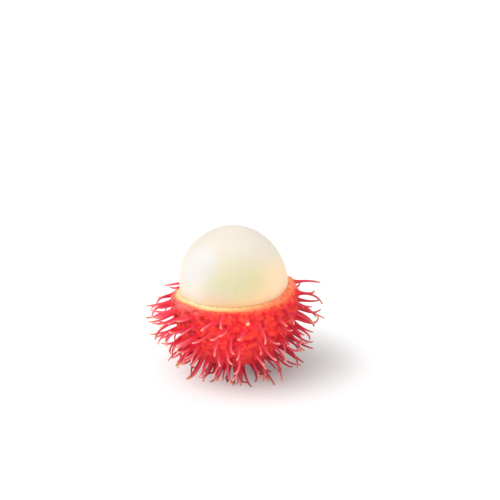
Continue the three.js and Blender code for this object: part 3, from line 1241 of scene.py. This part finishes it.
@dataclass
class Flesh:
    """The peeled flesh, which follows the lining and closes as a dome."""

    cup: CupShape
    stance: Stance
    finish: FleshFinish
    gap: float = 0.35 * MM
    dome_foot: float = 4.3 * MM
    dome_height: float = 18 * MM
    dome_power: float = 1.92
    dome_sideways: float = 0.25 * MM
    sides: int = 144
    low_rows: int = 40
    dome_rows: int = 64
    climb_foot: float = 1 * MM
    seed_way: Triple = (0.22, -0.92, 0.28)
    seed_spread: float = 0.36
    streaks: Grain = Grain(0.09)
    streak_squash: float = 0.12
    streak_clear: float = 0.08
    streak_gain: float = 3
    patches: tuple[Patch, ...] = (
        # Painted red bounce light, on the side towards the lower right.
        Patch("painted_bounce", (0.75, -0.55, -0.37), (0.25, 1)),
        # Painted light on the lit left side.
        Patch("painted_lit_side", (-0.93, -0.3, 0.05), (0.55, 1)),
        # A painted rim light: peach round the edge seen from the front, and over the back half.
        Patch("painted_edge_light", (0.05, 0.93, -0.36), (-0.45, 0.1)),
        # A painted sheen, cool white, high on the left.
        Patch("painted_sheen", (-0.62, -0.55, 0.56), (0.86, 0.99)),
        Patch("left", (-1, 0, 0), (-0.1, 0.7)),
    )
    # How high the painted glow climbs above the rim.
    painted_glow_height: float = 0.7 * MM

    def outline(self) -> np.ndarray:
        """Draw the outline from the bottom pole to the top one.

        Returns:
            Radius and height of each ring.
        """
        radius = self.cup.radius - self.cup.rind - self.gap
        depth = self.cup.depth - self.cup.stem_end - self.gap
        low = np.linspace(0, math.pi / 2, self.low_rows + 1)
        lower = np.stack([radius * np.sin(low), -depth * np.cos(low)], axis=1)
        high = np.linspace(0, math.pi / 2, self.dome_rows + 1)
        power = 2 / self.dome_power
        out = radius * np.clip(np.cos(high), 0, 1) ** power
        up = self.dome_foot + self.dome_height * np.sin(high) ** power
        return np.concatenate([lower, np.stack([out, up], axis=1)])

    def shape(self) -> Shape:
        """Shape the flesh with its marks.

        Returns:
            The flesh in the part's frame.
        """
        points, faces = turned(self.outline(), self.sides)
        share = np.clip((points[:, 2] - self.dome_foot) / self.dome_height, 0, 1)
        points[:, 0] -= self.dome_sideways * np.sin(math.pi * share)
        way = points - np.array([0, 0, self.dome_foot])
        way /= np.linalg.norm(way, axis=1, keepdims=True)
        facing = way @ np.array(Vector(self.seed_way).normalized())
        top = self.dome_foot + self.dome_height
        angle = np.arctan2(points[:, 1], points[:, 0])
        above_rim = points[:, 2] - self.cup.rim_height - self.cup.rim_lift(angle)
        marks = {
            "climb": np.clip((points[:, 2] + self.climb_foot) / (top + self.climb_foot), 0, 1),
            "seed": np.exp(-((1 - facing) / (self.seed_spread**2))),
            "streak": self.streaked(way),
        }
        marks |= {patch.mark: patch.at(way) for patch in self.patches}
        # Painted glow along the foot, fading above the rim.
        marks["painted_glow"] = np.exp(-np.maximum(above_rim, 0) / self.painted_glow_height)
        return Shape(self.stance.placed(points), faces, marks)

    def streaked(self, way: np.ndarray) -> np.ndarray:
        """Give the faint streaks that run from the dome's top to its foot.

        Args:
            way: Unit vectors from the dome's middle.

        Returns:
            Numbers from 0 to 1, plain at the very top.
        """
        meridian = np.stack([way[:, 0], way[:, 1], self.streak_squash * way[:, 2]], axis=1)
        flat = np.linalg.norm(meridian[:, :2], axis=1, keepdims=True)
        streak = self.streaks.at(meridian / np.maximum(flat, self.streak_clear))
        return 0.5 + 0.5 * streak * np.clip(flat[:, 0] * self.streak_gain, 0, 1)

    def build(self) -> bpy.types.Object:
        """Build the piece and tie it to the model.

        Returns:
            The finished flesh.
        """
        piece = self.shape().object("peeled_flesh", self.finish.material())
        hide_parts("flesh")
        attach(piece, "root")
        return piece


@dataclass(frozen=True)
class Softbox:
    """One square studio light, aimed at the fruit."""

    name: str
    place: Triple
    width: float
    watts: float


@dataclass
class Studio:
    """The floor, the light and the camera."""

    stance: Stance
    flesh: Flesh
    elevation: float = math.radians(21)
    distance: float = 700 * MM
    sensor: float = 36.0
    frame_pixels: float = 500.0
    pixels_per_metre: float = 3.1 / MM
    flesh_pixel: Span = (233.5, 280.0)
    floor_size: float = 6.0
    floor_colour: str = "#b8b8b8"
    floor_roughness: float = 0.7
    # The floor's glow, and where it dims into a painted shadow beside the fruit.
    floor_glow: Span = (0.1, 0.56)
    shade_radius: Span = (7 * MM, 40 * MM)
    shade_middle: Triple = (13 * MM, 11 * MM, 0)
    horizon_strength: float = 0.6
    zenith_strength: float = 1.05
    lights: tuple[Softbox, ...] = (
        Softbox("key", (-0.5, 0.12, 0.45), 0.3, 0.94),
        Softbox("fill", (0.2, -0.7, 0.4), 0.5, 1.69),
    )

    def build(self) -> None:
        """Build all of it."""
        bpy.context.scene.view_settings.view_transform = "Standard"
        self.floor()
        self.sky()
        for light in self.lights:
            self.softbox(light)
        self.camera()

    def floor(self) -> None:
        """Lay the pale floor, which glows evenly far off and less near the fruit, as a painted shadow."""
        half = self.floor_size / 2
        corners = [(-half, -half, 0), (half, -half, 0), (half, half, 0), (-half, half, 0)]
        mesh = bpy.data.meshes.new("floor")
        mesh.from_pydata(corners, [], [(0, 1, 2, 3)])
        nodes = Nodes("floor_paper")
        nodes.set("Base Color", self.floor_colour)
        nodes.set("Roughness", self.floor_roughness)
        nodes.set("Emission Color", WHITE)
        # Less glow round a point beside the fruit: a painted shadow.
        away = nodes.add("VectorMath", {0: nodes.here(), 1: self.shade_middle}, operation="DISTANCE")
        painted_glow = nodes.ranged(away.outputs["Value"], self.shade_radius, self.floor_glow)
        nodes.set("Emission Strength", painted_glow)
        mesh.materials.append(nodes.material)
        in_scene("floor", mesh)

    def sky(self) -> None:
        """Light the room from all round, more from above."""
        world = bpy.data.worlds.new("studio")
        world.use_nodes = True
        tree = world.node_tree
        where = tree.nodes.new("ShaderNodeTexCoord")
        split = tree.nodes.new("ShaderNodeSeparateXYZ")
        rise = tree.nodes.new("ShaderNodeMapRange")
        rise.inputs["To Min"].default_value = self.horizon_strength
        rise.inputs["To Max"].default_value = self.zenith_strength
        back = tree.nodes["Background"]
        back.inputs["Color"].default_value = WHITE
        tree.links.new(where.outputs["Generated"], split.inputs["Vector"])
        tree.links.new(split.outputs["Z"], rise.inputs["Value"])
        tree.links.new(rise.outputs["Result"], back.inputs["Strength"])
        bpy.context.scene.world = world

    def softbox(self, box: Softbox) -> None:
        """Hang one light.

        Args:
            box: The light.
        """
        data = bpy.data.lights.new(box.name, "AREA")
        data.size = box.width
        data.energy = box.watts
        light = in_scene(box.name, data)
        place = Vector(box.place)
        light.location = place
        aim = Vector((0, 0, self.stance.centre_height)) - place
        light.rotation_euler = aim.to_track_quat("-Z", "Y").to_euler()

    def camera(self) -> None:
        """Set the camera so that the flesh's middle falls on its own pixel of the frame."""
        forward = Vector((0, math.cos(self.elevation), -math.sin(self.elevation)))
        right = Vector((1, 0, 0))
        up = right.cross(forward)
        middle = self.stance.matrix() @ Vector((0, 0, self.flesh.dome_foot))
        half = self.frame_pixels / 2
        across = (half - self.flesh_pixel[0]) / self.pixels_per_metre
        above = (self.flesh_pixel[1] - half) / self.pixels_per_metre
        data = bpy.data.cameras.new("camera")
        data.sensor_width = self.sensor
        data.lens = self.pixels_per_metre * self.distance * self.sensor / self.frame_pixels
        camera = in_scene("camera", data)
        camera.location = middle + right * across + up * above - forward * self.distance
        camera.rotation_euler = forward.to_track_quat("-Z", "Y").to_euler()
        bpy.context.scene.camera = camera


def main() -> None:
    """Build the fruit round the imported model, and light it."""
    logging.basicConfig(level=logging.INFO, format="%(name)s: %(message)s")
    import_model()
    stance, cup = Stance(), CupShape()
    flesh = Flesh(cup, stance, FleshFinish())
    Studio(stance, flesh).build()
    rind = Rind(cup, SpineField(cup, stance), stance, RindFinish())
    for part in (rind, flesh):
        piece = part.build()
        LOG.info("%s: %d faces", piece.name, len(piece.data.polygons))


if __name__ == "__main__":
    main()
